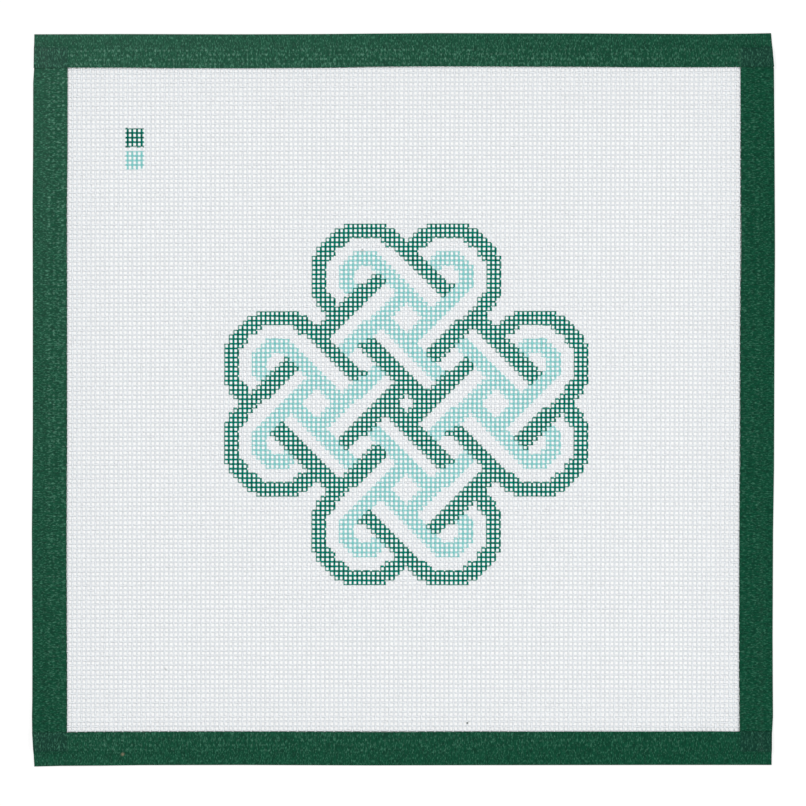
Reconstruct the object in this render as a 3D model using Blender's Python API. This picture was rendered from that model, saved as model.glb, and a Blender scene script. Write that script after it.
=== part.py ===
"""Needlepoint canvas panel: a square of mono canvas bound on its four sides with folded tape.

Metres, +Z up. +X is to the right and +Y is up, as the design is read from above. The origin is
the centre of the footprint, on the surface that the panel lies on.

The side strips go on first. The top and bottom strips then fold over the canvas and over the
ends of the side strips, so at each corner the layers lie twice as deep.
"""

import math
from collections import namedtuple

import bmesh
import bpy
import numpy as np

MM = 0.001

# ---- Driving dimensions, in mm ----
SHEET = 1.0  # thickness of the canvas, and of one layer of tape
GAP = 0.3  # air between a layer and the next
CANVAS_WIDE = 303.0  # along X, cut along a thread
CANVAS_HIGH = 298.6  # along Y

LEVEL = 11.5  # margin of the canvas that lies level on the tape's back flap
RISE = 24.0  # inside that margin, where the canvas eases down to the surface
RISE_STEPS = 4
FLAT_STEPS = 4  # from the centre to where the rise starts

EDGE_ROOM = 0.5  # from the canvas's cut edge to where the tape starts down
RAMP_SLOPE = 0.6  # how far the tape runs outward for each mm that it comes down
RAMP_STEPS = 3
FOLD_STEPS = 4  # of the half circle at the fold

# ---- Worked out from them ----
LAYER = SHEET + GAP
HALF_WIDE = CANVAS_WIDE / 2
HALF_HIGH = CANVAS_HIGH / 2
FOLD_RADIUS = LAYER / 2  # to the middle of the tape
SMOOTH_ANGLE = math.radians(50)

# The tape's edges, seen from above. along runs with the strip, from left to right or from
# bottom to top. fold and inner are the distances of the folded edge and of the cut edge from
# the panel's middle.
Row = namedtuple("Row", "along fold inner")
LEFT_ROWS = [
    Row(along=-140, fold=157.2, inner=142.2),
    Row(along=-42, fold=157.2, inner=142.4),
    Row(along=0, fold=156.9, inner=142.3),
    Row(along=42, fold=156.8, inner=142.3),
    Row(along=84, fold=157.0, inner=142.3),
    Row(along=127, fold=156.7, inner=142.0),
    Row(along=140, fold=156.6, inner=142.0),
]
RIGHT_ROWS = [
    Row(along=-140, fold=156.4, inner=141.9),
    Row(along=-85, fold=156.2, inner=141.9),
    Row(along=-42, fold=156.7, inner=142.1),
    Row(along=0, fold=156.9, inner=142.4),
    Row(along=42, fold=157.1, inner=142.6),
    Row(along=84, fold=157.2, inner=142.7),
    Row(along=140, fold=156.8, inner=142.5),
]
TOP_ROWS = [
    Row(along=-142, fold=154.8, inner=140.3),
    Row(along=-84, fold=154.8, inner=140.3),
    Row(along=-44, fold=154.9, inner=140.4),
    Row(along=0, fold=155.2, inner=140.8),
    Row(along=41, fold=155.3, inner=141.0),
    Row(along=83, fold=155.2, inner=140.8),
    Row(along=126, fold=155.0, inner=140.6),
    Row(along=156, fold=155.2, inner=140.8),
]
BOTTOM_ROWS = [
    Row(along=-157, fold=155.3, inner=140.5),
    Row(along=-142, fold=154.9, inner=140.4),
    Row(along=-107, fold=154.5, inner=140.2),
    Row(along=0, fold=154.6, inner=140.2),
    Row(along=41, fold=154.5, inner=140.2),
    Row(along=126, fold=154.4, inner=140.2),
    Row(along=156, fold=154.5, inner=140.3),
]

# Where the raw ends of the top and bottom strips lie, at the fold and at the inner edge.
Ends = namedtuple("Ends", "left_fold left_inner right_fold right_inner")
TOP_ENDS = Ends(left_fold=-156.2, left_inner=-156.2, right_fold=155.7, right_inner=156.8)
BOTTOM_ENDS = Ends(left_fold=-156.3, left_inner=-157.2, right_fold=155.7, right_inner=156.1)

# Over a side strip the top and bottom strips have one layer more under them. inset is the
# distance in from the canvas's side edge, and layers is what that adds.
Step = namedtuple("Step", "inset layers")
STEPS = [
    Step(inset=LEVEL, layers=0.0),
    Step(inset=LEVEL - 1.2, layers=1.0),
    Step(inset=-EDGE_ROOM - 0.6, layers=1.0),
    Step(inset=-EDGE_ROOM - 2.3, layers=0.0),
]

# ---- Finishes ----
CANVAS_FINISH = ("sized_cotton_canvas", (0.79, 0.82, 0.83), 0.85)
TAPE_FINISH = ("green_cotton_tape", (0.022, 0.085, 0.052), 0.8)


def clear_scene():
    for item in list(bpy.data.objects):
        bpy.data.objects.remove(item, do_unlink=True)


def finish_of(name, colour, roughness):
    """One material, made once."""
    material = bpy.data.materials.get(name)
    if material is None:
        material = bpy.data.materials.new(name)
        material.use_nodes = True
        shader = material.node_tree.nodes["Principled BSDF"]
        shader.inputs["Base Color"].default_value = (*colour, 1.0)
        shader.inputs["Roughness"].default_value = roughness
        shader.inputs["Metallic"].default_value = 0.0
    return material


def eased(t):
    """0 to 1, starting and ending level."""
    t = min(max(t, 0.0), 1.0)
    return t * t * (3 - 2 * t)


def lift(position, half):
    """How far the panel's margin lies above its middle, at a distance from the centre."""
    inset = half - abs(position)
    return LAYER * eased((LEVEL + RISE - inset) / RISE)


def stations(half):
    """Places along one axis that the canvas and the strips on it share."""
    start = half - LEVEL - RISE
    flat = [start * k / FLAT_STEPS for k in range(FLAT_STEPS + 1)]
    rise = [start + RISE * k / RISE_STEPS for k in range(1, RISE_STEPS + 1)]
    positive = flat + rise
    return [-p for p in reversed(positive[1:])] + positive


def sheet(name, finish, columns, rows, place, parent):
    """A sheet of one thickness: a grid with each point placed by its column and row."""
    bm = bmesh.new()
    bmesh.ops.create_grid(bm, x_segments=columns - 1, y_segments=rows - 1, size=0.5)
    for vert in bm.verts:
        column = round((vert.co.x + 0.5) * (columns - 1))
        row = round((vert.co.y + 0.5) * (rows - 1))
        vert.co = [value * MM for value in place(column, row)]
    mesh = bpy.data.meshes.new(name)
    bm.to_mesh(mesh)
    bm.free()
    mesh.materials.append(finish_of(*finish))
    mesh.shade_smooth()
    mesh.set_sharp_from_angle(angle=SMOOTH_ANGLE)
    item = bpy.data.objects.new(name, mesh)
    bpy.context.collection.objects.link(item)
    item.parent = parent
    thick = item.modifiers.new("Thickness", "SOLIDIFY")
    thick.thickness = SHEET * MM
    thick.offset = 0.0
    thick.use_even_offset = True
    return item


def make_canvas(parent):
    """The canvas lies flat in its middle and rises onto the back flaps of the tape."""
    xs = [-HALF_WIDE, *stations(HALF_WIDE), HALF_WIDE]
    ys = [-HALF_HIGH, *stations(HALF_HIGH), HALF_HIGH]

    def place(column, row):
        x, y = xs[column], ys[row]
        return x, y, SHEET / 2 + lift(x, HALF_WIDE) + lift(y, HALF_HIGH)

    return sheet("canvas", CANVAS_FINISH, len(xs), len(ys), place, parent)


def section(fold, inner, canvas_edge, layers_under):
    """The middle line of a folded strip, from the back flap's edge round to the front's.

    Each point is (distance from the panel's middle, height). layers_under is how many layers
    the front flap lies on, the strip's own back flap among them.
    """
    turn = fold - SHEET / 2 - FOLD_RADIUS
    low = SHEET / 2
    above_fold = low + 2 * FOLD_RADIUS
    high = low + layers_under * LAYER
    points = [(inner, low), ((inner + turn) / 2, low)]
    for k in range(FOLD_STEPS + 1):
        angle = math.pi * k / FOLD_STEPS
        points.append(
            (turn + FOLD_RADIUS * math.sin(angle), low + FOLD_RADIUS * (1 - math.cos(angle)))
        )
    top_of_ramp = canvas_edge + EDGE_ROOM
    run = RAMP_SLOPE * (high - above_fold)
    for k in range(RAMP_STEPS + 1):
        t = k / RAMP_STEPS
        points.append((top_of_ramp + run * (1 - t), above_fold + (high - above_fold) * eased(t)))
    points.append(((top_of_ramp + inner) / 2, high))
    points.append((inner, high))
    return points


def edges_at(rows, along):
    """Fold and inner distances at a place along a strip, read between the table's rows."""
    places = [row.along for row in rows]
    fold = np.interp(along, places, [row.fold for row in rows])
    inner = np.interp(along, places, [row.inner for row in rows])
    return float(fold), float(inner)


def make_side_strip(name, side, rows, parent):
    """A side strip, cut off flush with the canvas, raised at its ends onto the other tapes."""
    ys = [-HALF_HIGH, *stations(HALF_HIGH), HALF_HIGH]
    sections = [section(*edges_at(rows, y), HALF_WIDE, layers_under=2) for y in ys]

    def place(column, row):
        out, height = sections[row][column]
        return side * out, ys[row], height + lift(ys[row], HALF_HIGH)

    return sheet(name, TAPE_FINISH, len(sections[0]), len(ys), place, parent)


def layers_at(x):
    """Layers under the front flap of the top and bottom strips, at a place along them."""
    inset = HALF_WIDE - abs(x)
    steps = sorted(STEPS)
    extra = np.interp(inset, [step.inset for step in steps], [step.layers for step in steps])
    return 2 + lift(x, HALF_WIDE) / LAYER + float(extra)


def make_cross_strip(name, side, rows, ends, parent):
    """The top or bottom strip, which steps up over the side strips near its raw ends."""
    past_rise = [HALF_WIDE - step.inset for step in STEPS[1:]]
    middle = [-x for x in reversed(past_rise)] + stations(HALF_WIDE) + past_rise
    left = (ends.left_fold + ends.left_inner) / 2
    right = (ends.right_fold + ends.right_inner) / 2
    xs = [left, *middle, right]
    sections = [section(*edges_at(rows, x), HALF_HIGH, layers_at(x)) for x in xs]

    def place(column, row):
        out, height = sections[row][column]
        x = xs[row]
        fold, inner = edges_at(rows, x)
        share = (out - inner) / (fold - inner)
        if row == 0:
            x = ends.left_inner + share * (ends.left_fold - ends.left_inner)
        if row == len(xs) - 1:
            x = ends.right_inner + share * (ends.right_fold - ends.right_inner)
        return x, side * out, height

    return sheet(name, TAPE_FINISH, len(sections[0]), len(xs), place, parent)


def main():
    clear_scene()
    panel = bpy.data.objects.new("needlepoint_panel", None)
    bpy.context.collection.objects.link(panel)
    make_canvas(panel)
    make_side_strip("binding_left", -1, LEFT_ROWS, panel)
    make_side_strip("binding_right", 1, RIGHT_ROWS, panel)
    make_cross_strip("binding_top", 1, TOP_ROWS, TOP_ENDS, panel)
    make_cross_strip("binding_bottom", -1, BOTTOM_ROWS, BOTTOM_ENDS, panel)


main()
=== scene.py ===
# %% [markdown]
# # A needlepoint canvas panel
#
# The object is a square of needlepoint canvas, about 31 cm a side, with its four edges bound in
# folded green cotton tape. A plaited knot in two greens is painted on it, and two small squares
# at the upper left are the key to its colours. The stitcher will cover the paint with wool, so
# what shows here is bare woven thread, thread under paint, and tape.
#
# The lesson makes it in the maker's order: weave the canvas, paint the knot, fold the side
# tapes on, and fold the top and bottom tapes over them. Last come the light and the camera.

import math

import bmesh
import bpy
import numpy as np
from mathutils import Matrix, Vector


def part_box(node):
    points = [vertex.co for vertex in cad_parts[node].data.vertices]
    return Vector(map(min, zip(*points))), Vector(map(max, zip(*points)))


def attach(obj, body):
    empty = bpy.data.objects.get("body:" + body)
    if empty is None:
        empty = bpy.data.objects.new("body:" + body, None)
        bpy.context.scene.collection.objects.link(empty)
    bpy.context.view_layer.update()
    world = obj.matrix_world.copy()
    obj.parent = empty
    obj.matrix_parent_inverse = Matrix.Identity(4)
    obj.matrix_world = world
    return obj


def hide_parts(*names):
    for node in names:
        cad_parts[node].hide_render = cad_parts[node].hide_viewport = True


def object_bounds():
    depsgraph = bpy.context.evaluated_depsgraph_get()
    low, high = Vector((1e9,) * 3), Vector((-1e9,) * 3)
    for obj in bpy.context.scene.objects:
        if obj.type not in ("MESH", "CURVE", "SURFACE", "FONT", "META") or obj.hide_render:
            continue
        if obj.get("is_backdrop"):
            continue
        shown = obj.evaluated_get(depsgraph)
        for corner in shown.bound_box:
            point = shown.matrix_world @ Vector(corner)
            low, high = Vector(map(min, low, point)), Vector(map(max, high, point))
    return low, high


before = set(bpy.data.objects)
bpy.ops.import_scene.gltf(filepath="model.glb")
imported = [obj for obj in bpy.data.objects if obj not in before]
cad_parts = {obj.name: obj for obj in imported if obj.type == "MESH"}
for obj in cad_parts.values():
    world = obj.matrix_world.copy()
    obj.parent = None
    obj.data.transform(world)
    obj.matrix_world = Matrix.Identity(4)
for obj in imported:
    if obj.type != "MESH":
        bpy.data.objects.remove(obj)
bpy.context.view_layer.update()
MM = 0.001

# %% [markdown]
# ## The weave's own grid
#
# Mono canvas is a plain weave of single stiff threads, 13 to the inch. It could be one sheet
# with a picture of a net on it, but then it would be flat at the edges of every hole. Real
# threads, each going over one and under the next, give the holes their soft shadows.
#
# Everything on the canvas is placed by thread, so the script works in the weave's own grid.
# One unit of it is one pitch. Its middle, (0, 0), is the middle of the knot. Upright threads
# lie at u = ..., -0.5, 0.5, 1.5, ... and level threads at v = ..., -1, 0, 1, ... so the knot is
# an odd number of holes wide and an even number high.
#
# A loom is never quite square. The rows lie a little closer together towards the top, and they
# bow and rise to the right, while the columns lean and spread a little.

# %% From the weave's grid to millimetres
PITCH_U, PITCH_V = 1.9455, 1.9612  # mm from one upright thread, or level one, to the next
KNOT_X, KNOT_Y = 1.19, -1.72  # mm, where the knot's middle lies on the panel
ROWS_CLOSER, ROWS_BOW = 0.000234, 0.000046  # mm for each row, and each column, squared
ROW_SLOPE, ROW_SLOPE_GAIN = 0.0014, 0.000043  # mm a column, and how much more with each row
COLUMN_LEAN, COLUMN_SPREAD = 0.0028, 0.000036  # mm a row, and how much wider the pitch gets

FIRST_U, LAST_U = -77.5, 76.5  # the outermost upright threads
FIRST_V, LAST_V = -74.0, 77.0  # the outermost level threads
CUT = 0.4  # how far thread ends stand past the last crossing, in pitches
CLOSING_STEPS = 3  # of in_weave, which leave less than a hair's breadth


def on_canvas(u, v):
    """Where a point of the weave's grid lies, in mm."""
    x = KNOT_X + (PITCH_U + COLUMN_SPREAD * v) * u + COLUMN_LEAN * v
    y = KNOT_Y + PITCH_V * v + (ROW_SLOPE + ROW_SLOPE_GAIN * v) * u
    return x, y - ROWS_CLOSER * v * v - ROWS_BOW * u * u


def in_weave(x, y):
    """The grid's own place of a point in mm, found by closing in on it."""
    u, v = (x - KNOT_X) / PITCH_U, (y - KNOT_Y) / PITCH_V
    for _ in range(CLOSING_STEPS):
        found_x, found_y = on_canvas(u, v)
        u, v = u + (x - found_x) / PITCH_U, v + (y - found_y) / PITCH_V
    return u, v


corners = on_canvas(np.array([FIRST_U, LAST_U]), np.array([FIRST_V, LAST_V]))
print("outermost crossings, mm:", [np.round(c, 1).tolist() for c in corners])

# %% [markdown]
# ## How the layers lie
#
# The canvas lies on the table in its middle. At its margins it lies on the back flaps of the
# tape, so it rises there by one layer of tape, and by two at the corners. The solids of the CAD
# model ease up over 24 mm, and the threads follow them. Real tape is thinner than those solids,
# so here the rise is smaller than theirs.

# %% Heights in the pile of layers, in mm
TAPE = 0.4  # thickness
SLIP = 0.05  # air between two layers
UPRIGHT_WIDE, LEVEL_WIDE, THREAD_HIGH = 0.92, 0.86, 0.42
CRIMP = 0.17  # how far a thread swings up and down as it weaves
CANVAS = THREAD_HIGH + 2 * CRIMP
LAYER = TAPE + SLIP
LEVEL, RISE = 11.5, 24.0  # how wide the margin lies level, and rises, as in the CAD model

canvas_low, canvas_high = (np.array(corner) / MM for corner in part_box("canvas"))
HALF_WIDE, HALF_HIGH = canvas_high[0], canvas_high[1]


def eased(t):
    """0 to 1, starting and ending level."""
    t = np.clip(t, 0.0, 1.0)
    return t * t * (3 - 2 * t)


def side_rise(x):
    """How far the canvas is lifted towards its left and right edges."""
    return LAYER * eased((LEVEL + RISE - (HALF_WIDE - np.abs(x))) / RISE)


def end_rise(y):
    """The same towards its bottom and top edges."""
    return LAYER * eased((LEVEL + RISE - (HALF_HIGH - np.abs(y))) / RISE)


def canvas_top(x, y):
    """Height of the canvas's crests."""
    return side_rise(x) + end_rise(y) + CANVAS


print("canvas solid, mm:", canvas_low.round(1).tolist(), canvas_high.round(1).tolist())

# %% [markdown]
# ## One tube for every strand and strip
#
# A thread is a long thin tube, and so is a strip of tape, seen end on: its section is just a
# flat folded one. Both can start from the same two operators. A cone with equal ends is a
# closed tube, and subdividing only its long edges gives it rings of points. Each point then
# moves to its place by a rule that reads its ring and its side.

# %% A closed tube with rings
def tube_mesh(name, sides, steps):
    """A closed tube of radius 1 from z = 0 to 1, with rings that cut it into so many steps."""
    bm = bmesh.new()
    bmesh.ops.create_cone(
        bm, cap_ends=True, segments=sides, radius1=1.0, radius2=1.0, depth=1.0
    )
    long_edges = [e for e in bm.edges if e.verts[0].co.z * e.verts[1].co.z < 0]
    bmesh.ops.subdivide_edges(bm, edges=long_edges, cuts=steps - 1)
    bmesh.ops.translate(bm, vec=(0, 0, 0.5), verts=bm.verts)
    bmesh.ops.recalc_face_normals(bm, faces=bm.faces)
    mesh = bpy.data.meshes.new(name)
    bm.to_mesh(mesh)
    bm.free()
    return mesh


def points_of(mesh):
    """A mesh's points as rows of x, y and z."""
    co = np.empty(len(mesh.vertices) * 3, np.float32)
    mesh.vertices.foreach_get("co", co)
    return co.reshape(-1, 3).astype(float)


def move_points(mesh, co):
    """Writes such rows back into the mesh."""
    mesh.vertices.foreach_set("co", np.asarray(co, np.float32).ravel())
    mesh.update()


def store(mesh, name, kind, values, domain="POINT"):
    """Writes an attribute with one value a point, or a face."""
    layer = mesh.attributes.new(name, kind, domain)
    field = "vector" if kind == "FLOAT_VECTOR" else "value"
    layer.data.foreach_set(field, np.asarray(values, np.float32).ravel())


def show(mesh, slot, *nodes):
    """Makes a mesh a piece that rides on the one body and stands for CAD nodes."""
    piece = bpy.data.objects.new(mesh.name, mesh)
    bpy.context.collection.objects.link(piece)
    mesh.shade_smooth()
    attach(piece, "root")
    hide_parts(*nodes)
    return piece


# %% [markdown]
# ## Weaving
#
# An Array modifier copies one thread as often as the cloth needs. Each copy then moves to its
# place and bends by the same wave: a thread is up where the wave is at its crest and down one
# crossing further on, and the threads of the other direction take the wave upside down. That
# is all a plain weave is.
#
# Two rings a pitch are enough: one at each crossing and one in each gap. Four sides are enough
# too, with a ridge along the top, because smooth shading rounds the rest. It also puts an edge
# exactly where paint can stop, along the thread's ridge and across it at each crossing.
#
# Spun cotton is uneven, so each thread wanders a little to the side and swells and thins. The
# cut ends hang a little lower, because the tape is folded down over them.

# %% The wave, and the unevenness of spun cotton
RINGS_A_PITCH = 2
WANDER, SWELL = 0.035, 0.05  # mm, and a share of the width
WANDER_WAVES, SWELL_WAVES = (5.3, 17, 60), (3.1, 9, 23)  # lengths of the sine waves, in pitches
FEWER, MORE = 0.8, 1.25  # how many times as many waves one thread or another has
ENDS_PRESSED = 0.2  # mm, how far the tape presses the cut ends down
THIN_ON_CREST = 0.1  # how thin paint is on top of a crossing, and how much more so
THIN_ON_SIDES = 0.25  # on a thread's flanks,
THIN_ON_BRIDGE = {"upright": 0.0, "level": 0.4}  # where it bridges from crossing to crossing,
SLOPE_LIGHT_AND_SHADE = {"upright": 0.1, "level": 0.28}  # and painted light and shade on its slopes
wander_random = np.random.default_rng(13)


def wave(u, v):
    """1 where the upright thread is on top at a crossing, and -1 where the level one is."""
    return np.cos(math.pi * (u - 0.5 + v))


def uneven(along, threads, lengths):
    """Smooth random values for each thread, from a few sine waves of the given lengths."""
    total = np.zeros((threads, len(along)))
    for length in lengths:
        phase = wander_random.uniform(0, 2 * math.pi, (threads, 1))
        often = wander_random.uniform(FEWER, MORE, (threads, 1))
        total += np.sin(2 * math.pi * along[None, :] * often / length + phase)
    return total / math.sqrt(len(lengths))


print("up and down along a thread:", wave(0.5, np.arange(4)).round(1).tolist())


# %% Weave a set of threads
def woven(name, upright, first, last, start, end):
    """Threads at first ... last of one direction, each crossing start ... end of the other."""
    steps = round((end - start) * RINGS_A_PITCH) + 2  # and one ring past each end
    threads = round(last - first) + 1
    thread = tube_mesh(name + "_thread", 4, steps)
    copies = bpy.data.objects.new(name + "_copies", thread)
    bpy.context.collection.objects.link(copies)
    repeat = copies.modifiers.new("Repeat", "ARRAY")
    repeat.count = threads
    repeat.use_relative_offset = False
    repeat.use_merge_vertices = False
    evaluated = copies.evaluated_get(bpy.context.evaluated_depsgraph_get())
    mesh = bpy.data.meshes.new_from_object(evaluated)
    mesh.name = name
    bpy.data.objects.remove(copies, do_unlink=True)
    bpy.data.meshes.remove(thread)

    side, up, share = points_of(mesh).reshape(threads, -1, 3).transpose(2, 0, 1)
    if upright:
        side = -side  # keeps its faces outward, because the tube turns over on its way to v
    number = np.arange(threads)[:, None] + first
    rings = start + (np.arange(steps + 1) - 1) / RINGS_A_PITCH
    rings[0], rings[-1] = start - CUT, end + CUT
    which = np.rint(share * steps).astype(int)
    along, rows = rings[which], np.arange(threads)[:, None]
    wide = UPRIGHT_WIDE if upright else LEVEL_WIDE
    wander = WANDER * uneven(rings, threads, WANDER_WAVES)[rows, which]
    swell = 1 + SWELL * uneven(rings, threads, SWELL_WAVES)[rows, which]
    across = number + (side * wide / 2 * swell + wander) / PITCH_U
    u, v = (across, along) if upright else (along, across)
    straight = number + 0 * along  # the thread's own middle line, without its wander
    line_u, line_v = (straight, along) if upright else (along, straight)
    turn = wave(line_u, line_v) * (1 if upright else -1)
    height = CRIMP * turn + THREAD_HIGH / 2 * up - ENDS_PRESSED * np.isin(which, (0, steps))
    move_points(mesh, np.stack([u, v, height], axis=-1).reshape(-1, 3))

    # Paint lies thick on the crests and thin in the dips and down the sides.
    thin_and_shade = THIN_ON_CREST + 0.5 - 0.5 * turn + THIN_ON_SIDES * np.abs(side)
    way = "upright" if upright else "level"
    thin_and_shade += THIN_ON_BRIDGE[way] * (1 - turn**2)
    # Painted light and shade: just right of or below a thread on top, where its shadow falls, the
    # paint is made thicker and darker. On the slope down to the right or bottom from a crest it
    # is made thinner and lighter.
    thin_and_shade += SLOPE_LIGHT_AND_SHADE[way] * wave(line_u + 0.5, line_v)
    store(mesh, "thin_paint_and_shade", "FLOAT", thin_and_shade)
    return mesh


half_u, half_v = -0.5, 1.0  # where each direction is parted, so that no piece is too heavy
thread_sets = [
    woven("upright_threads_left", True, FIRST_U, half_u, FIRST_V, LAST_V),
    woven("upright_threads_right", True, half_u + 1, LAST_U, FIRST_V, LAST_V),
    woven("level_threads_lower", False, FIRST_V, half_v, FIRST_U, LAST_U),
    woven("level_threads_upper", False, half_v + 1, LAST_V, FIRST_U, LAST_U),
]
for mesh in thread_sets:
    mesh.calc_loop_triangles()
    print(mesh.name, "triangles:", len(mesh.loop_triangles))

# %% [markdown]
# ## The knot
#
# The ornament is an old plaited one: four long loops, each a quarter turn from the last, with
# two lobes on every side. A loop could be charted stitch by stitch, but one short rule draws
# all four. Each loop is a band round a straight line between two lobe centres. How far a stitch
# lies from that line says which of the band's three stripes it is in: dark outside, bare in the
# middle, and light inside.
#
# Where two neighbouring loops meet, one has to pass over the other. A loop has a near side and
# a far side, seen from the knot's middle. Where both loops show the same side, the first is on
# top, and elsewhere the second is, which makes every loop go over, under, over, under.

# %% The rule of the knot
LOBES = {  # the lobes' centres, in stitches from the knot's middle
    "top_left": (-9, 27.5),
    "top_right": (9, 27.5),
    "right_up": (28, 8.5),
    "right_down": (28, -8.5),
    "bottom_right": (9, -27.5),
    "bottom_left": (-9, -27.5),
    "left_down": (-28, -8.5),
    "left_up": (-28, 8.5),
}
LOOPS = [
    ("top_left", "right_down"),
    ("left_down", "top_right"),
    ("bottom_right", "left_up"),
    ("right_up", "bottom_left"),
]
BAND_RADIUS = 7.0  # from the line to the middle of the band, in stitches
BAND_OUTER, BAND_INNER = 4.83, 4.5  # from there to the band's outer and inner edges
BARE_OUTER, BARE_INNER = 1.55, 1.6  # and to the bare stripe's outer and inner edges
KNOT_REACH = 42  # no part of the knot is further than this from its middle
BARE, LIGHT, DARK = 0, 1, 2


def loop_at(u, v, ends):
    """Distance from the middle of a loop's band, and whether this is its far side."""
    (au, av), (bu, bv) = LOBES[ends[0]], LOBES[ends[1]]
    du, dv = bu - au, bv - av
    share = np.clip(((u - au) * du + (v - av) * dv) / (du * du + dv * dv), 0, 1)
    distance = np.hypot(u - au - share * du, v - av - share * dv) - BAND_RADIUS
    side = du * (v - av) - dv * (u - au)
    middle_side = du * (0 - av) - dv * (0 - au)
    return distance, side * middle_side < 0


def knot(u, v):
    """BARE, LIGHT or DARK for each stitch, from its place in the weave's grid."""
    u, v = np.rint(u), np.floor(v) + 0.5
    loops = [loop_at(u, v, ends) for ends in LOOPS]
    covers = [(d >= -BAND_INNER) & (d <= BAND_OUTER) for d, _ in loops]
    paint = np.full(u.shape, BARE)
    for k, (distance, far) in enumerate(loops):
        stripe = np.where(distance > BARE_OUTER, DARK, BARE)
        stripe = np.where(distance < -BARE_INNER, LIGHT, stripe)
        after, before = (k + 1) % len(LOOPS), (k - 1) % len(LOOPS)
        hidden = covers[after] & (far != loops[after][1])
        hidden |= covers[before] & (far == loops[before][1])
        paint = np.where(covers[k] & ~hidden, stripe, paint)
    return paint


across, upward = np.arange(-KNOT_REACH, KNOT_REACH + 1), np.arange(-KNOT_REACH, KNOT_REACH) + 0.5
stitches = knot(*np.meshgrid(across, upward))
for name, colour in (("light", LIGHT), ("dark", DARK)):
    print("stitches of the knot in", name, "paint:", (stitches == colour).sum())

# %% [markdown]
# ## The colour key
#
# Above the knot and to its left, the maker adds one small square of each paint, so that the
# stitcher can match the wools to them. The knot needs a rule, but a square doesn't: its first
# and last column and row say it all.

# %% One square of each paint
KEY_U = (-61.0, -57.0)
KEY_DARK_V, KEY_LIGHT_V = (56.0, 60.0), (51.22, 55.0)
KEY_ROOM = 0.5  # how far round the squares the paint counts as theirs, in pitches


def in_key(u, v):
    """Whether a place is in or beside the key, where the paint is heavier."""
    in_column = (u > KEY_U[0] - KEY_ROOM) & (u < KEY_U[1] + KEY_ROOM)
    return in_column & (v > KEY_LIGHT_V[0] - KEY_ROOM) & (v < KEY_DARK_V[1] + KEY_ROOM)


def key_squares(u, v, paint):
    """Adds the key's two squares to the paint at each place."""
    in_column = (u > KEY_U[0]) & (u < KEY_U[1])
    paint = np.where(in_column & (v > KEY_DARK_V[0]) & (v < KEY_DARK_V[1]), DARK, paint)
    return np.where(in_column & (v > KEY_LIGHT_V[0]) & (v < KEY_LIGHT_V[1]), LIGHT, paint)


print("key squares, pitches wide:", KEY_U[1] - KEY_U[0])

# %% [markdown]
# ## Paint on threads
#
# The paint was printed on the finished cloth, so it colours the tops of the threads and falls
# through the holes. Its stitches are the squares between four threads: each one colours the
# inner halves of the threads round a hole. The printer can't lay the knot exactly on the weave.
# It lies a seventh of a pitch to the right, and is a shade shorter than it should be, so the
# threads along its right sides are painted nearly all over. Some paint also creeps along the
# fibres into the next stitch, and a weaker stain reaches the threads' undersides. A few small
# flecks lie on the work: dirt on the canvas, and lint on the tape.
#
# Each face of a thread gets two numbers, how much dark and how much light paint it holds. They
# are face attributes, so paint ends as sharply as it does on the real threads. The key is a test
# of the two paints, and they were laid on more heavily there.

# %% Paint each face by its place in the weave
PRINT_U, PRINT_V = 0.14, 0.0375  # how far the knot's print lies right of the weave and above it
SHORTER = 0.002  # and by what share it is too short
PRINT_STEP = 0.1  # a face is also looked up this far to each side of its middle, in pitches
SPREADS = 2.6  # and holds this many times the print that covers it, up to all over
CREEP = 0.42  # how far paint creeps, in pitches
CREPT = 0.16  # how much of it does
BACK_STAIN = 0.4  # the share of paint that shows on the underside
FLECKS = (  # dirt, and lint on the tape: x and y in mm, and how much it hides
    (27.4, -136.95, 1.0),
    (-100.4, -114.1, 0.3),
    (-17.2, 62.9, 0.35),
    (-118.6, -150.1, 0.5),
)
FLECK_MM = 0.62  # a fleck's radius


def fleck_share(x, y):
    """How much a fleck hides of a place on the panel, in mm."""
    share = np.zeros(np.shape(x))
    for fleck_x, fleck_y, much in FLECKS:
        away = np.hypot(x - fleck_x, y - fleck_y) / FLECK_MM
        share = np.maximum(share, much * np.exp(-(away**4)))
    return share


def design(u, v):
    """The paint that the printer laid at a place on the weave."""
    return key_squares(u, v, knot(u - PRINT_U, v - PRINT_V + SHORTER * v))


def paint_threads(mesh):
    """Writes how much of each paint, and of dirt, every face holds."""
    centres = np.empty(len(mesh.polygons) * 3, np.float32)
    mesh.polygons.foreach_get("center", centres)
    u, v, _ = centres.reshape(-1, 3).astype(float).T
    normals = np.empty(len(mesh.polygons) * 3, np.float32)
    mesh.polygons.foreach_get("normal", normals)
    faces_up = normals.reshape(-1, 3)[:, 2] > 0
    steps = (-PRINT_STEP, 0, PRINT_STEP)
    here = [design(u + a, v + b) for a in steps for b in steps]
    around = [design(u + a, v + b) for a, b in ((CREEP, 0), (-CREEP, 0), (0, CREEP), (0, -CREEP))]
    for name, colour in (("dark_paint", DARK), ("light_paint", LIGHT)):
        covered = sum((near == colour).astype(float) for near in here) / len(here)
        crept = sum((near == colour).astype(float) for near in around) / len(around)
        held = np.maximum(np.minimum(SPREADS * covered, 1), CREPT * crept)
        held *= np.where(faces_up, 1.0, BACK_STAIN)
        store(mesh, name, "FLOAT", held, "FACE")
    store(mesh, "heavy_paint", "FLOAT", in_key(u, v), "FACE")
    store(mesh, "fleck", "FLOAT", fleck_share(*on_canvas(u, v)) * faces_up, "FACE")


for mesh in thread_sets:
    paint_threads(mesh)
print("faces painted by their place:", sum(len(mesh.polygons) for mesh in thread_sets))

# %% [markdown]
# ## From the grid to the panel
#
# The threads now lie in the weave's own flat grid. One last move takes each point to its place
# in millimetres and lifts the margins onto the tape.

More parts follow.
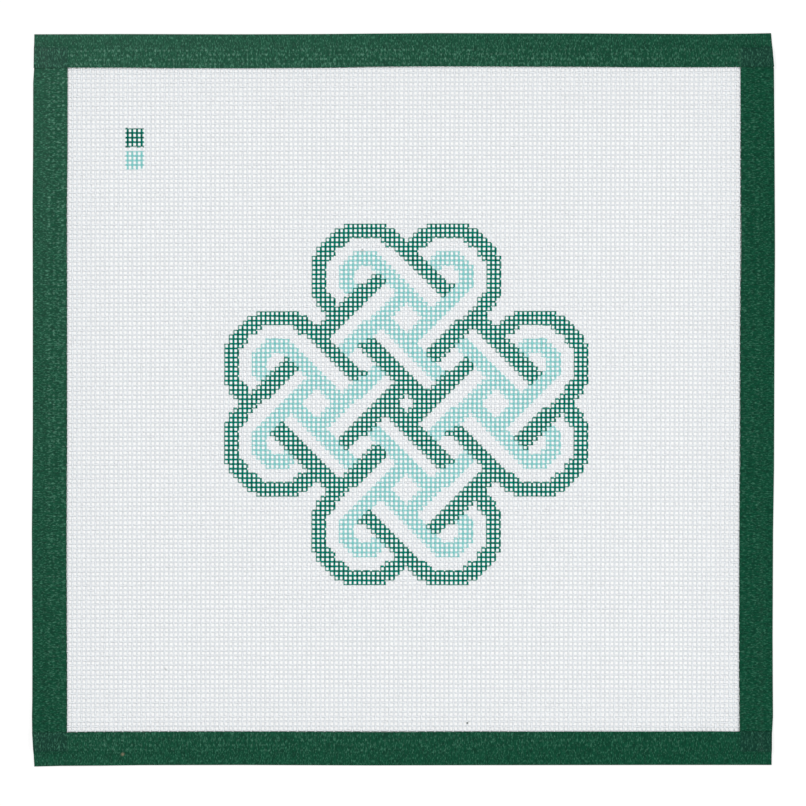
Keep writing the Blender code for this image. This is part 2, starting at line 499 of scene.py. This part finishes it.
# %% Lay the threads in place
def lay_down(mesh):
    """Moves a mesh's points from the weave's grid to the panel."""
    u, v, height = points_of(mesh).T
    x, y = on_canvas(u, v)
    z = height + CANVAS / 2 + side_rise(x) + end_rise(y)
    move_points(mesh, np.stack([x, y, z], axis=-1) * MM)


threads = []
for mesh in thread_sets:
    lay_down(mesh)
    threads.append(show(mesh, "canvas", "canvas"))
print("pieces of canvas:", [piece.name for piece in threads])

# %% [markdown]
# ## Materials: small helpers
#
# Colours are written as the sRGB hex values that a paint program shows, and turned into the
# linear light that the shader mixes. One function adds a node, sets it and links it, so each
# material reads as a short list of what it is made of.

# %% Colour and node helpers
def linear(hex_colour):
    """An sRGB hex colour as linear light."""
    parts = [int(hex_colour[k : k + 2], 16) / 255 for k in (1, 3, 5)]
    return [c / 12.92 if c <= 0.04045 else ((c + 0.055) / 1.055) ** 2.4 for c in parts] + [1.0]


def add(tree, kind, inputs=(), **settings):
    """Adds a node. inputs is {socket: value or another node's output}."""
    node = tree.nodes.new(kind)
    for name, value in settings.items():
        setattr(node, name, value)
    for name, value in dict(inputs).items():
        if isinstance(value, bpy.types.NodeSocket):
            tree.links.new(value, node.inputs[name])
        else:
            node.inputs[name].default_value = value
    return node


def new_material(name):
    """A material and its empty node tree."""
    material = bpy.data.materials.new(name)
    material.use_nodes = True
    material.node_tree.nodes.clear()
    return material, material.node_tree


def cover(pieces, material):
    """Gives pieces their one material."""
    for piece in pieces:
        piece.data.materials.clear()
        piece.data.materials.append(material)
    print("material:", material.name)


print("a middle grey in linear light:", round(linear("#808080")[0], 3))


# %% [markdown]
# ## Sized cotton thread
#
# Canvas is cotton, bleached cool white and stiffened with starch size. The size lays the fibres
# flat and gives a low, soft shine, and the twist of the yarn shows as slanting ridges. They are
# about 0.25 mm apart on real yarn, too fine for this picture, so here they are 0.45 mm apart.
# Paint sinks in between the fibres, so it is thinner on some than on others.

# %% Canvas thread, bare and painted
BARE_THREAD, BARE_SHADE = "#E9ECEE", "#DEE2E6"
DARK_THICK, DARK_THIN = "#004036", "#008E7C"
LIGHT_THICK, LIGHT_THIN = "#70C2C1", "#A8D7D6"
DIRT = "#35463B"
HEAVY = 0.12  # how much less thin the paint of the key is
SOAKS = 0.15  # how much thicker or thinner the paint is on one cloud of fibres or another
CLOUD_FROM, CLOUD_TO = 0.3, 0.7  # the usual range of the noise that makes the clouds
TWIST_MM, FIBRE_MM, CLOUD_MM = 0.45, 0.12, 2.4
TWIST_SCALE = 0.31  # of the wave texture, for ridges that lie one unit apart
TWIST_RELIEF, TWIST_HIGH_MM = 0.3, 0.05  # how strongly the ridges shade, and how high they are


def canvas_thread():
    """Bare cotton with each paint over it, as faces and points say, with some painted shade."""
    material, tree = new_material("starched_cotton_canvas_thread")
    place = add(tree, "ShaderNodeTexCoord").outputs["Object"]
    dark = add(tree, "ShaderNodeAttribute", attribute_name="dark_paint").outputs["Fac"]
    light = add(tree, "ShaderNodeAttribute", attribute_name="light_paint").outputs["Fac"]
    cloud = {"Vector": place, "Scale": 1 / (CLOUD_MM * MM), "Detail": 2.0}
    cloud = add(tree, "ShaderNodeTexNoise", cloud).outputs["Fac"]
    soak = {"Value": cloud, "From Min": CLOUD_FROM, "From Max": CLOUD_TO}
    soak |= {"To Min": -SOAKS, "To Max": SOAKS}
    soak = add(tree, "ShaderNodeMapRange", soak).outputs["Result"]
    thin_and_shade = add(tree, "ShaderNodeAttribute", attribute_name="thin_paint_and_shade").outputs["Fac"]
    thin_and_shade = add(tree, "ShaderNodeMath", {0: thin_and_shade, 1: soak}, operation="ADD").outputs["Value"]
    heavy = add(tree, "ShaderNodeAttribute", attribute_name="heavy_paint").outputs["Fac"]
    thin_and_shade = {0: heavy, 1: -HEAVY, 2: thin_and_shade}
    thin_and_shade = add(tree, "ShaderNodeMath", thin_and_shade, operation="MULTIPLY_ADD").outputs["Value"]
    fibre = {"Vector": place, "Scale": 1 / (FIBRE_MM * MM), "Detail": 3.0}
    fibre = add(tree, "ShaderNodeTexNoise", fibre).outputs["Fac"]
    twist = {"Vector": place, "Scale": TWIST_SCALE / (TWIST_MM * MM)}
    twist |= {"Distortion": 1.5, "Detail": 1.0}
    twist = add(tree, "ShaderNodeTexWave", twist, bands_direction="DIAGONAL").outputs["Fac"]
    coats = {}
    for name, share, one, other in (
        ("bare", fibre, BARE_THREAD, BARE_SHADE),
        ("light", thin_and_shade, LIGHT_THICK, LIGHT_THIN),
        ("dark", thin_and_shade, DARK_THICK, DARK_THIN),
    ):
        pair = {0: share, 6: linear(one), 7: linear(other)}
        coats[name] = add(tree, "ShaderNodeMix", pair, data_type="RGBA").outputs[2]
    colour = coats["bare"]
    fleck = add(tree, "ShaderNodeAttribute", attribute_name="fleck").outputs["Fac"]
    for share, coat in (
        (light, coats["light"]),
        (dark, coats["dark"]),
        (fleck, linear(DIRT)),
    ):
        painted = {0: share, 6: colour, 7: coat}
        colour = add(tree, "ShaderNodeMix", painted, data_type="RGBA").outputs[2]
    height = add(tree, "ShaderNodeMath", {0: twist, 1: fibre}, operation="ADD").outputs["Value"]
    rise = {"Height": height, "Strength": TWIST_RELIEF, "Distance": TWIST_HIGH_MM * MM}
    shader = add(
        tree,
        "ShaderNodeBsdfPrincipled",
        {
            "Base Color": colour,
            "Roughness": 0.62,
            "Normal": add(tree, "ShaderNodeBump", rise).outputs["Normal"],
            "Specular IOR Level": 0.05,
        },
    )
    add(tree, "ShaderNodeOutputMaterial", {"Surface": shader.outputs["BSDF"]})
    return material


cover(threads, canvas_thread())

# %% [markdown]
# ## The tape's outline
#
# The strips were folded by hand, so their edges wander by half a millimetre, and at each corner
# the later strip pulls the earlier one in. The folded edge and the cut edge could be straight
# lines, but then the panel would look machined. A short table for each strip draws both. They
# are the same edges that the solids have, with a few more rows near the corners.

# %% Where each strip is folded and where it is cut
# Each row: the place along the strip, then the distances from the panel's middle to the fold
# and to the front flap's cut edge. All in mm.
FOLD_COLUMN, CUT_COLUMN = 1, 2
STRIP_ROWS = {
    "binding_left": (
        (-149.3, 155.4, 142.06),
        (-141, 156.9, 142.16),
        (-134, 157, 142.16),
        (-128, 156.9, 142.17),
        (-100, 156.9, 142.29),
        (-56, 157.1, 142.34),
        (-14, 156.7, 142.22),
        (42, 156.7, 142.21),
        (84, 156.8, 142.24),
        (104, 156.6, 141.98),
        (134, 156.5, 141.8),
        (140, 156.1, 141.8),
        (149.3, 155.3, 141.8),
    ),
    "binding_right": (
        (-149.3, 155.4, 142.38),
        (-140, 156.3, 142.38),
        (-134, 156.6, 142.38),
        (-100, 156.5, 142.32),
        (-56, 156.7, 142.33),
        (-28, 157.1, 142.64),
        (28, 157.3, 142.73),
        (63, 157.5, 143),
        (110, 157.3, 142.93),
        (140, 157, 142.72),
        (149.3, 155.3, 142.72),
    ),
    "binding_top": (
        (-156, 154.6, 140.19),
        (-120, 154.7, 140.33),
        (-70, 154.6, 140.09),
        (-35, 154.7, 140.33),
        (-14, 154.9, 140.7),
        (14, 155.1, 140.88),
        (77, 155, 140.75),
        (110, 154.8, 140.59),
        (130, 154.7, 140.58),
        (147, 154.9, 140.69),
        (157, 155.1, 140.79),
    ),
    "binding_bottom": (
        (-157, 155.4, 140.79),
        (-145, 155.1, 140.79),
        (-128, 155, 140.62),
        (-110, 154.8, 140.6),
        (-70, 154.7, 140.48),
        (-14, 154.9, 140.62),
        (28, 154.8, 140.56),
        (110, 154.7, 140.44),
        (130, 154.7, 140.3),
        (156, 154.7, 140.42),
    ),
}
# Where the raw ends of the strips lie, at the cut edge and at the fold.
STRIP_ENDS = {
    "binding_left": ((-HALF_HIGH, -HALF_HIGH), (HALF_HIGH, HALF_HIGH)),
    "binding_right": ((-HALF_HIGH, -HALF_HIGH), (HALF_HIGH, HALF_HIGH)),
    "binding_top": ((-156.2, -156.0), (157.0, 155.8)),
    "binding_bottom": ((-156.85, -156.0), (156.1, 156.0)),
}


def edge_at(node, column, along):
    """One of a strip's edges, read between the rows of its table."""
    rows = np.array(STRIP_ROWS[node])
    return np.interp(along, rows[:, 0], rows[:, column])


# How much painted sheen each strip gets at its start and at its end. It is strongest at the upper
# left corner, towards the key lamp.
LAMP_SHEEN = {
    "binding_left": (0.3, 1.4),
    "binding_right": (0.15, 0.25),
    "binding_top": (1.6, 0.5),
    "binding_bottom": (0.6, 0.15),
}
for node in STRIP_ROWS:
    low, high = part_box(node)
    reach = max(np.abs([*low[:2], *high[:2]])) / MM
    fold = max(row[FOLD_COLUMN] for row in STRIP_ROWS[node])
    print(node, "fold, mm:", fold, "solid:", round(reach, 1))

# %% [markdown]
# ## Folded tape
#
# A strip of tape is a thin sheet folded in half over the canvas's edge. It could be a flat
# plane with thickness, bent by a modifier, but a fold this tight pinches. So the section is
# drawn: along the back flap, round the fold, up over the canvas's edge, and back on the inside.
# The back flap is a little narrower than the front one, so that the holes beside the tape's cut
# edge look through to the floor.
#
# The tape is pulled down hard, so the canvas presses through it. Each crossing makes a small
# bump of its own strength, and the row of cut thread ends makes a low step. Outside that step
# the tape only meets itself and lies smooth.

# %% How the front flap lies on the canvas
STEP_START = -1.5  # where the tape starts down, as a distance past the canvas's edge
STEP_WIDE = 3.0  # how far it takes to come down
STEP_UP = 0.9  # over how much it steps up onto a side strip
PRESSED = 0.2  # depth of the hollows between the bumps
OVER_THREAD, OVER_CROSSING = 0.2, 0.6  # how much a thread lifts the tape, and a crossing besides
WEAKEST, STRONGEST = 0.2, 1.0  # of the crossings' bumps, before they are squared
PRESS_GRID = 160  # more than there are threads in either direction
press_random = np.random.default_rng(4)
PRESS_OF = press_random.uniform(WEAKEST, STRONGEST, (PRESS_GRID, PRESS_GRID)) ** 2


def bumps(x, y):
    """1 on top of a strong crossing under the tape, down to 0 over a hole."""
    u, v = in_weave(x, y)
    over_column = 0.5 + 0.5 * np.cos(2 * math.pi * (u - 0.5))
    over_row = 0.5 + 0.5 * np.cos(2 * math.pi * v)
    column = np.clip(np.floor(u) - math.floor(FIRST_U), 0, PRESS_GRID - 1).astype(int)
    row = np.clip(np.rint(v) - round(FIRST_V), 0, PRESS_GRID - 1).astype(int)
    lifted = OVER_THREAD * (over_column + over_row)
    return lifted + OVER_CROSSING * over_column * over_row * PRESS_OF[row, column]


def on_cloth(out):
    """1 over the canvas, down to 0 past its cut edge. out is the distance past that edge."""
    return 1 - eased((out - STEP_START) / STEP_WIDE)


def side_front(x, y):
    """Height of the inner face of a side strip's front flap."""
    folded = end_rise(y) + LAYER
    over = canvas_top(x, y) + SLIP - PRESSED * (1 - bumps(x, y))
    return folded + (over - folded) * on_cloth(np.abs(x) - HALF_WIDE)


def side_cut(x, y):
    """Where the cut edge of the side strip on this side lies."""
    left, right = (edge_at(node, CUT_COLUMN, y) for node in ("binding_left", "binding_right"))
    return np.where(x < 0, left, right)


def cross_front(x, y):
    """The same of the top and bottom strips, which also cover the side strips' ends."""
    on_side = eased((np.abs(x) - side_cut(x, y) + STEP_UP) / STEP_UP)
    plain = canvas_top(x, y) + SLIP - PRESSED * (1 - bumps(x, y))
    doubled = side_front(x, y) + TAPE + SLIP
    inner = plain + (doubled - plain) * on_side
    return LAYER + (inner - LAYER) * on_cloth(np.abs(y) - HALF_HIGH)


print("strength of the bumps, on average:", round(PRESS_OF.mean(), 2))


# %% The section, as a walk round it
BACK, FOLD, FRONT, FRONT_INSIDE, BACK_INSIDE = range(5)
SECTION_STEPS = {BACK: 4, FOLD: 5, FRONT: 28, FRONT_INSIDE: 5, BACK_INSIDE: 4}
section = [(BACK, where, 0.0) for where in np.linspace(0, 1, SECTION_STEPS[BACK] + 1)[:-1]]
section += [(FOLD, 1.0, angle) for angle in np.linspace(0, math.pi, SECTION_STEPS[FOLD])]
section += [(FRONT, where, 0.0) for where in np.linspace(1, 0, SECTION_STEPS[FRONT] + 1)[1:]]
for inside, where in ((FRONT_INSIDE, (0, 1)), (BACK_INSIDE, (1, 0))):
    section += [(inside, place, 0.0) for place in np.linspace(*where, SECTION_STEPS[inside])]
FLAP, ACROSS, TURN = np.array(section).T  # 0 across is the cut edge, and 1 the fold
print("points round the section:", len(section))


# %% Fold one strip
BACK_SHORT = 0.8  # how much narrower the back flap is
END_MM = 8.0  # how far in from a slanted end the rings are slanted too
FOLD_RADIUS = TAPE + SLIP / 2
RING_MM = PITCH_V / 4  # four rings a pitch, so that every bump gets the same
DOUBLED_HIDES = 0.6  # how much less the canvas shows where the tape lies twice
# The fold's crest is rubbed pale, and it is also painted paler as a highlight.
FOLD_RUB_HIGHLIGHT, FOLD_RUB_HIGHLIGHT_MM = 0.25, 0.35  # how much, and how far to each side
CUT_ANGLE = 50  # degrees past which an edge stays sharp, as at the cut edges


def folded_strip(node, upright, sign, front):
    """A closed strip round one edge.

    sign is 1 for the right and top edges and -1 for the others. front gives the height of the
    front flap's inner face.
    """
    (low_cut, low_fold), (high_cut, high_fold) = STRIP_ENDS[node]
    low, high = (low_cut + low_fold) / 2, (high_cut + high_fold) / 2
    mesh = tube_mesh(node + "_tape", len(section), round((high - low) / RING_MM))
    x, y, share = points_of(mesh).T
    # The tube's sides are counted by their angle, and each takes one point of the section.
    side = np.rint(np.arctan2(x, y) / (2 * math.pi) * len(section)).astype(int) % len(section)
    flap, where, turn = FLAP[side], ACROSS[side], TURN[side]

    along = low + share * (high - low)
    slant_low = low_cut + where * (low_fold - low_cut) - low
    slant_high = high_cut + where * (high_fold - high_cut) - high
    along = along + slant_low * np.clip(1 - (along - low) / END_MM, 0, 1)
    along = along + slant_high * np.clip(1 - (high - along) / END_MM, 0, 1)
    cut = edge_at(node, CUT_COLUMN, along)
    cut += np.isin(flap, (BACK, BACK_INSIDE)) * BACK_SHORT
    centre = edge_at(node, FOLD_COLUMN, along) - FOLD_RADIUS
    out = cut + where * (centre - cut) + FOLD_RADIUS * np.sin(turn)

    px, py = (sign * out, along) if upright else (along, sign * out)
    base = end_rise(py) * upright  # a side strip's ends lie on the other strips' back flaps
    inside = front(px, py)
    fold = base + FOLD_RADIUS * (1 - np.cos(turn))
    layers = {BACK: base, FOLD: fold, FRONT: inside + TAPE}
    layers |= {FRONT_INSIDE: inside, BACK_INSIDE: base + TAPE}
    height = np.select([flap == name for name in layers], list(layers.values()))
    move_points(mesh, np.stack([px, py, height], axis=-1) * MM)
    bm = bmesh.new()
    bm.from_mesh(mesh)
    bmesh.ops.recalc_face_normals(bm, faces=bm.faces)
    bm.to_mesh(mesh)
    bm.free()

    walked = np.where(flap == BACK, -out, out)
    store(mesh, "cloth_place", "FLOAT_VECTOR", np.stack([along, walked, height], axis=-1))
    past_canvas = out - (HALF_WIDE if upright else HALF_HIGH)
    # Partly real rubbing and partly painted highlight: the tops of the bumps and the crest of the
    # fold are marked to be painted paler.
    rub_and_highlight = bumps(px, py) * on_cloth(past_canvas)
    rub_and_highlight = rub_and_highlight + FOLD_RUB_HIGHLIGHT * np.exp(-(((out - centre) / FOLD_RUB_HIGHLIGHT_MM) ** 2))
    over_side = (np.abs(px) > side_cut(px, py)) & (np.abs(py) < HALF_HIGH) & (flap == FRONT)
    doubled = over_side & (not upright)
    store(mesh, "rub_and_highlight", "FLOAT", rub_and_highlight * (flap == FRONT) * (1 - DOUBLED_HIDES * doubled))
    store(mesh, "doubled", "FLOAT", doubled)
    store(mesh, "fleck", "FLOAT", fleck_share(px, py) * (flap == FRONT))
    # A painted sheen, strongest towards the lamp at the upper left.
    store(mesh, "painted_sheen", "FLOAT", np.interp(along, (low, high), LAMP_SHEEN[node]))
    piece = show(mesh, "binding_tape", node)
    mesh.set_sharp_from_angle(angle=math.radians(CUT_ANGLE))
    return piece


strips = [
    folded_strip("binding_left", upright=True, sign=-1, front=side_front),
    folded_strip("binding_right", upright=True, sign=1, front=side_front),
    folded_strip("binding_top", upright=False, sign=1, front=cross_front),
    folded_strip("binding_bottom", upright=False, sign=-1, front=cross_front),
]
for piece in strips:
    piece.data.calc_loop_triangles()
    print(piece.name, "triangles:", len(piece.data.loop_triangles))

# %% [markdown]
# ## Green cotton tape
#
# Binding tape is a close plain weave of dyed cotton, dull and a little hairy. Its filling
# threads run straight across the strip and are spun unevenly, so short light streaks cross it
# everywhere. The tape rubs pale where the canvas presses through and along its fold, and these
# crests are also painted paler as a highlight. Towards the upper left corner, where the key lamp
# is, the left and top strips get a painted sheen: their streaks and crests are painted paler
# there. At the corners the tape lies on more green tape instead of white canvas, which makes it
# look a shade deeper and bluer there.

# %% Tape
TAPE_GREEN, TAPE_DEEP, TAPE_PALE = "#03432D", "#012E1F", "#4C8B70"
# The rubbed tone is partly real rubbing and partly a painted highlight on the crests, and it is
# stronger towards the lamp.
TAPE_RUB_HIGHLIGHT, TAPE_DOUBLED, LINT = "#679480", "#0A362A", "#A8937A"
STREAK_ALONG_MM, STREAK_ACROSS_MM, MOTTLE_MM = 0.4, 1.2, 0.7
CLOUDS = {  # scale, the noise at which a cloud starts and is full, and how much it shows at most
    "streak": (1.0, 0.52, 0.78, 1.0),
    "deep": (STREAK_ALONG_MM / MOTTLE_MM, 0.4, 0.65, 0.8),
}
HAIRY, SHEEN_HAIRY = 0.48, 0.95  # how much the streaks show with no painted sheen and with full
STREAK_RUB_HIGHLIGHT = 0.5  # how much a streak adds to the rub and painted highlight
RUB_HIGHLIGHT_FROM, RUB_HIGHLIGHT_TO = 0.4, 1.2  # where the painted paling starts, and where it is full
FLAT_SHEEN, FULL_RUB_HIGHLIGHT = 0.06, 0.7  # pale tone painted before that, as sheen, and after
STREAK_RELIEF, STREAK_HIGH_MM = 0.5, 0.12  # how strongly the streaks shade, and their height


def green_tape():
    """Dyed cotton: streaks, mottling, rubbing, painted sheen and highlight over plain green."""
    material, tree = new_material("green_plain_weave_cotton_tape")
    place = add(tree, "ShaderNodeAttribute", attribute_name="cloth_place").outputs["Vector"]
    rub_and_highlight = add(tree, "ShaderNodeAttribute", attribute_name="rub_and_highlight").outputs["Fac"]
    doubled = add(tree, "ShaderNodeAttribute", attribute_name="doubled").outputs["Fac"]
    fleck = add(tree, "ShaderNodeAttribute", attribute_name="fleck").outputs["Fac"]
    painted_sheen = add(tree, "ShaderNodeAttribute", attribute_name="painted_sheen").outputs["Fac"]
    thread_scale = (1 / STREAK_ALONG_MM, 1 / STREAK_ACROSS_MM, 1.0)
    stretched = add(tree, "ShaderNodeMapping", {"Vector": place, "Scale": thread_scale})
    stretched = stretched.outputs["Vector"]
    clouds = {}
    for name, (scale, low, high, most) in CLOUDS.items():
        cloud = {"Vector": stretched, "Scale": scale, "Detail": 3.0}
        cloud = add(tree, "ShaderNodeTexNoise", cloud).outputs["Fac"]
        ends = {"Value": cloud, "From Min": low, "From Max": high, "To Max": most}
        clouds[name] = add(tree, "ShaderNodeMapRange", ends).outputs["Result"]
    # Painted sheen: the streaks are painted paler towards the lamp at the upper left.
    hairy_and_sheen = {"Value": painted_sheen, "To Min": HAIRY, "To Max": SHEEN_HAIRY}
    hairy_and_sheen = add(tree, "ShaderNodeMapRange", hairy_and_sheen).outputs["Result"]
    pale = {0: clouds["streak"], 1: hairy_and_sheen}
    pale = add(tree, "ShaderNodeMath", pale, operation="MULTIPLY").outputs["Value"]
    # Paling from rubbing and painted highlight on the crests and streaks, scaled by the painted
    # sheen.
    lifted = {0: clouds["streak"], 1: STREAK_RUB_HIGHLIGHT, 2: rub_and_highlight}
    lifted = add(tree, "ShaderNodeMath", lifted, operation="MULTIPLY_ADD").outputs["Value"]
    rub_highlight = {"Value": lifted, "From Min": RUB_HIGHLIGHT_FROM, "From Max": RUB_HIGHLIGHT_TO}
    rub_highlight |= {"To Min": FLAT_SHEEN, "To Max": FULL_RUB_HIGHLIGHT}
    rub_highlight = {0: add(tree, "ShaderNodeMapRange", rub_highlight).outputs["Result"], 1: painted_sheen}
    rub_highlight = add(tree, "ShaderNodeMath", rub_highlight, operation="MULTIPLY").outputs["Value"]
    colour = linear(TAPE_GREEN)
    for share, tone in (
        (doubled, TAPE_DOUBLED),
        (clouds["deep"], TAPE_DEEP),
        (pale, TAPE_PALE),
        (rub_highlight, TAPE_RUB_HIGHLIGHT),
        (fleck, LINT),
    ):
        coat = {0: share, 6: colour, 7: linear(tone)}
        colour = add(tree, "ShaderNodeMix", coat, data_type="RGBA").outputs[2]
    rise = {"Height": clouds["streak"], "Strength": STREAK_RELIEF}
    rise |= {"Distance": STREAK_HIGH_MM * MM}
    shader = add(
        tree,
        "ShaderNodeBsdfPrincipled",
        {
            "Base Color": colour,
            "Roughness": 0.42,
            "Normal": add(tree, "ShaderNodeBump", rise).outputs["Normal"],
            "Specular IOR Level": 0.06,
        },
    )
    add(tree, "ShaderNodeOutputMaterial", {"Surface": shader.outputs["BSDF"]})
    return material


cover(strips, green_tape())

# %% [markdown]
# ## The strips' solids
#
# For each strip, the box of its CAD solid is read once more.

# %% Each strip's solid
for piece in strips:
    node = piece.name.removesuffix("_tape")
    low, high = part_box(node)

# %% [markdown]
# ## Floor, light and camera
#
# The panel lies on a plain white floor and is seen from straight above. The floor glows a
# little, like a light table, which makes the holes of the weave bright. A broad soft lamp at
# the upper left gives the threads their faint shading. A weaker lamp and a white sky fill the
# rest.

# %% Floor
FLOOR_GREY, FLOOR_GLOW = "#898989", 0.77
FLOOR_HALF = 6.0  # m, half a side
FLOOR_BELOW_MM = 0.05  # how far it lies below the panel
bm = bmesh.new()
bmesh.ops.create_grid(bm, x_segments=1, y_segments=1, size=FLOOR_HALF)
floor_mesh = bpy.data.meshes.new("floor")
bm.to_mesh(floor_mesh)
bm.free()
floor = bpy.data.objects.new("floor", floor_mesh)
floor.location.z = -FLOOR_BELOW_MM * MM
bpy.context.collection.objects.link(floor)
floor_paint, tree = new_material("white_light_table")
shader = add(
    tree,
    "ShaderNodeBsdfPrincipled",
    {
        "Base Color": linear(FLOOR_GREY),
        "Roughness": 0.9,
        "Specular IOR Level": 0.0,
        "Emission Color": linear("#FFFFFF"),
        "Emission Strength": FLOOR_GLOW,
    },
)
add(tree, "ShaderNodeOutputMaterial", {"Surface": shader.outputs["BSDF"]})
floor_mesh.materials.append(floor_paint)
floor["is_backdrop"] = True
print("floor, m a side:", 2 * FLOOR_HALF)

# %% Light
SKY = 0.42
world = bpy.data.worlds.new("white_room")
bpy.context.scene.world = world
world.use_nodes = True
world.node_tree.nodes["Background"].inputs["Color"].default_value = (1.0, 1.0, 1.0, 1.0)
world.node_tree.nodes["Background"].inputs["Strength"].default_value = SKY


def softbox(name, place, size, share):
    """A square lamp aimed at the panel. share is the light it gives there, with white as 1."""
    data = bpy.data.lights.new(name, "AREA")
    data.shape = "SQUARE"
    data.size = size
    lamp = bpy.data.objects.new(name, data)
    lamp.location = place
    away = lamp.location.length
    lamp.rotation_euler = (-lamp.location).to_track_quat("-Z", "Y").to_euler()
    data.energy = share * math.pi * math.pi * away**2 * away / lamp.location.z
    bpy.context.collection.objects.link(lamp)
    print(name, "W:", round(data.energy, 1))


softbox("key", place=(-1.3, 1.15, 2.0), size=0.6, share=0.45)
softbox("fill", place=(1.3, -0.9, 0.9), size=1.0, share=0.28)

# %% Camera
PHOTO_PX, MM_A_PX = 806, 0.42314  # the picture's width, and how much of the panel a pixel covers
PHOTO_CENTRE = (0.02, -1.48)  # mm, what lies in the middle of the picture
LENS, SENSOR = 150.0, 36.0  # mm
camera_data = bpy.data.cameras.new("above")
camera_data.lens = LENS
camera_data.sensor_width = SENSOR
camera = bpy.data.objects.new("above", camera_data)
distance = PHOTO_PX * MM_A_PX * MM * LENS / SENSOR
camera.location = (PHOTO_CENTRE[0] * MM, PHOTO_CENTRE[1] * MM, distance + CANVAS * MM)
bpy.context.collection.objects.link(camera)
bpy.context.scene.camera = camera
bpy.context.scene.view_settings.view_transform = "Standard"
print("camera height, m:", round(distance, 3))

# %% Sizes, and done
low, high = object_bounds()
print("visual box, mm:", [round(v / MM, 1) for v in (*low, *high)])
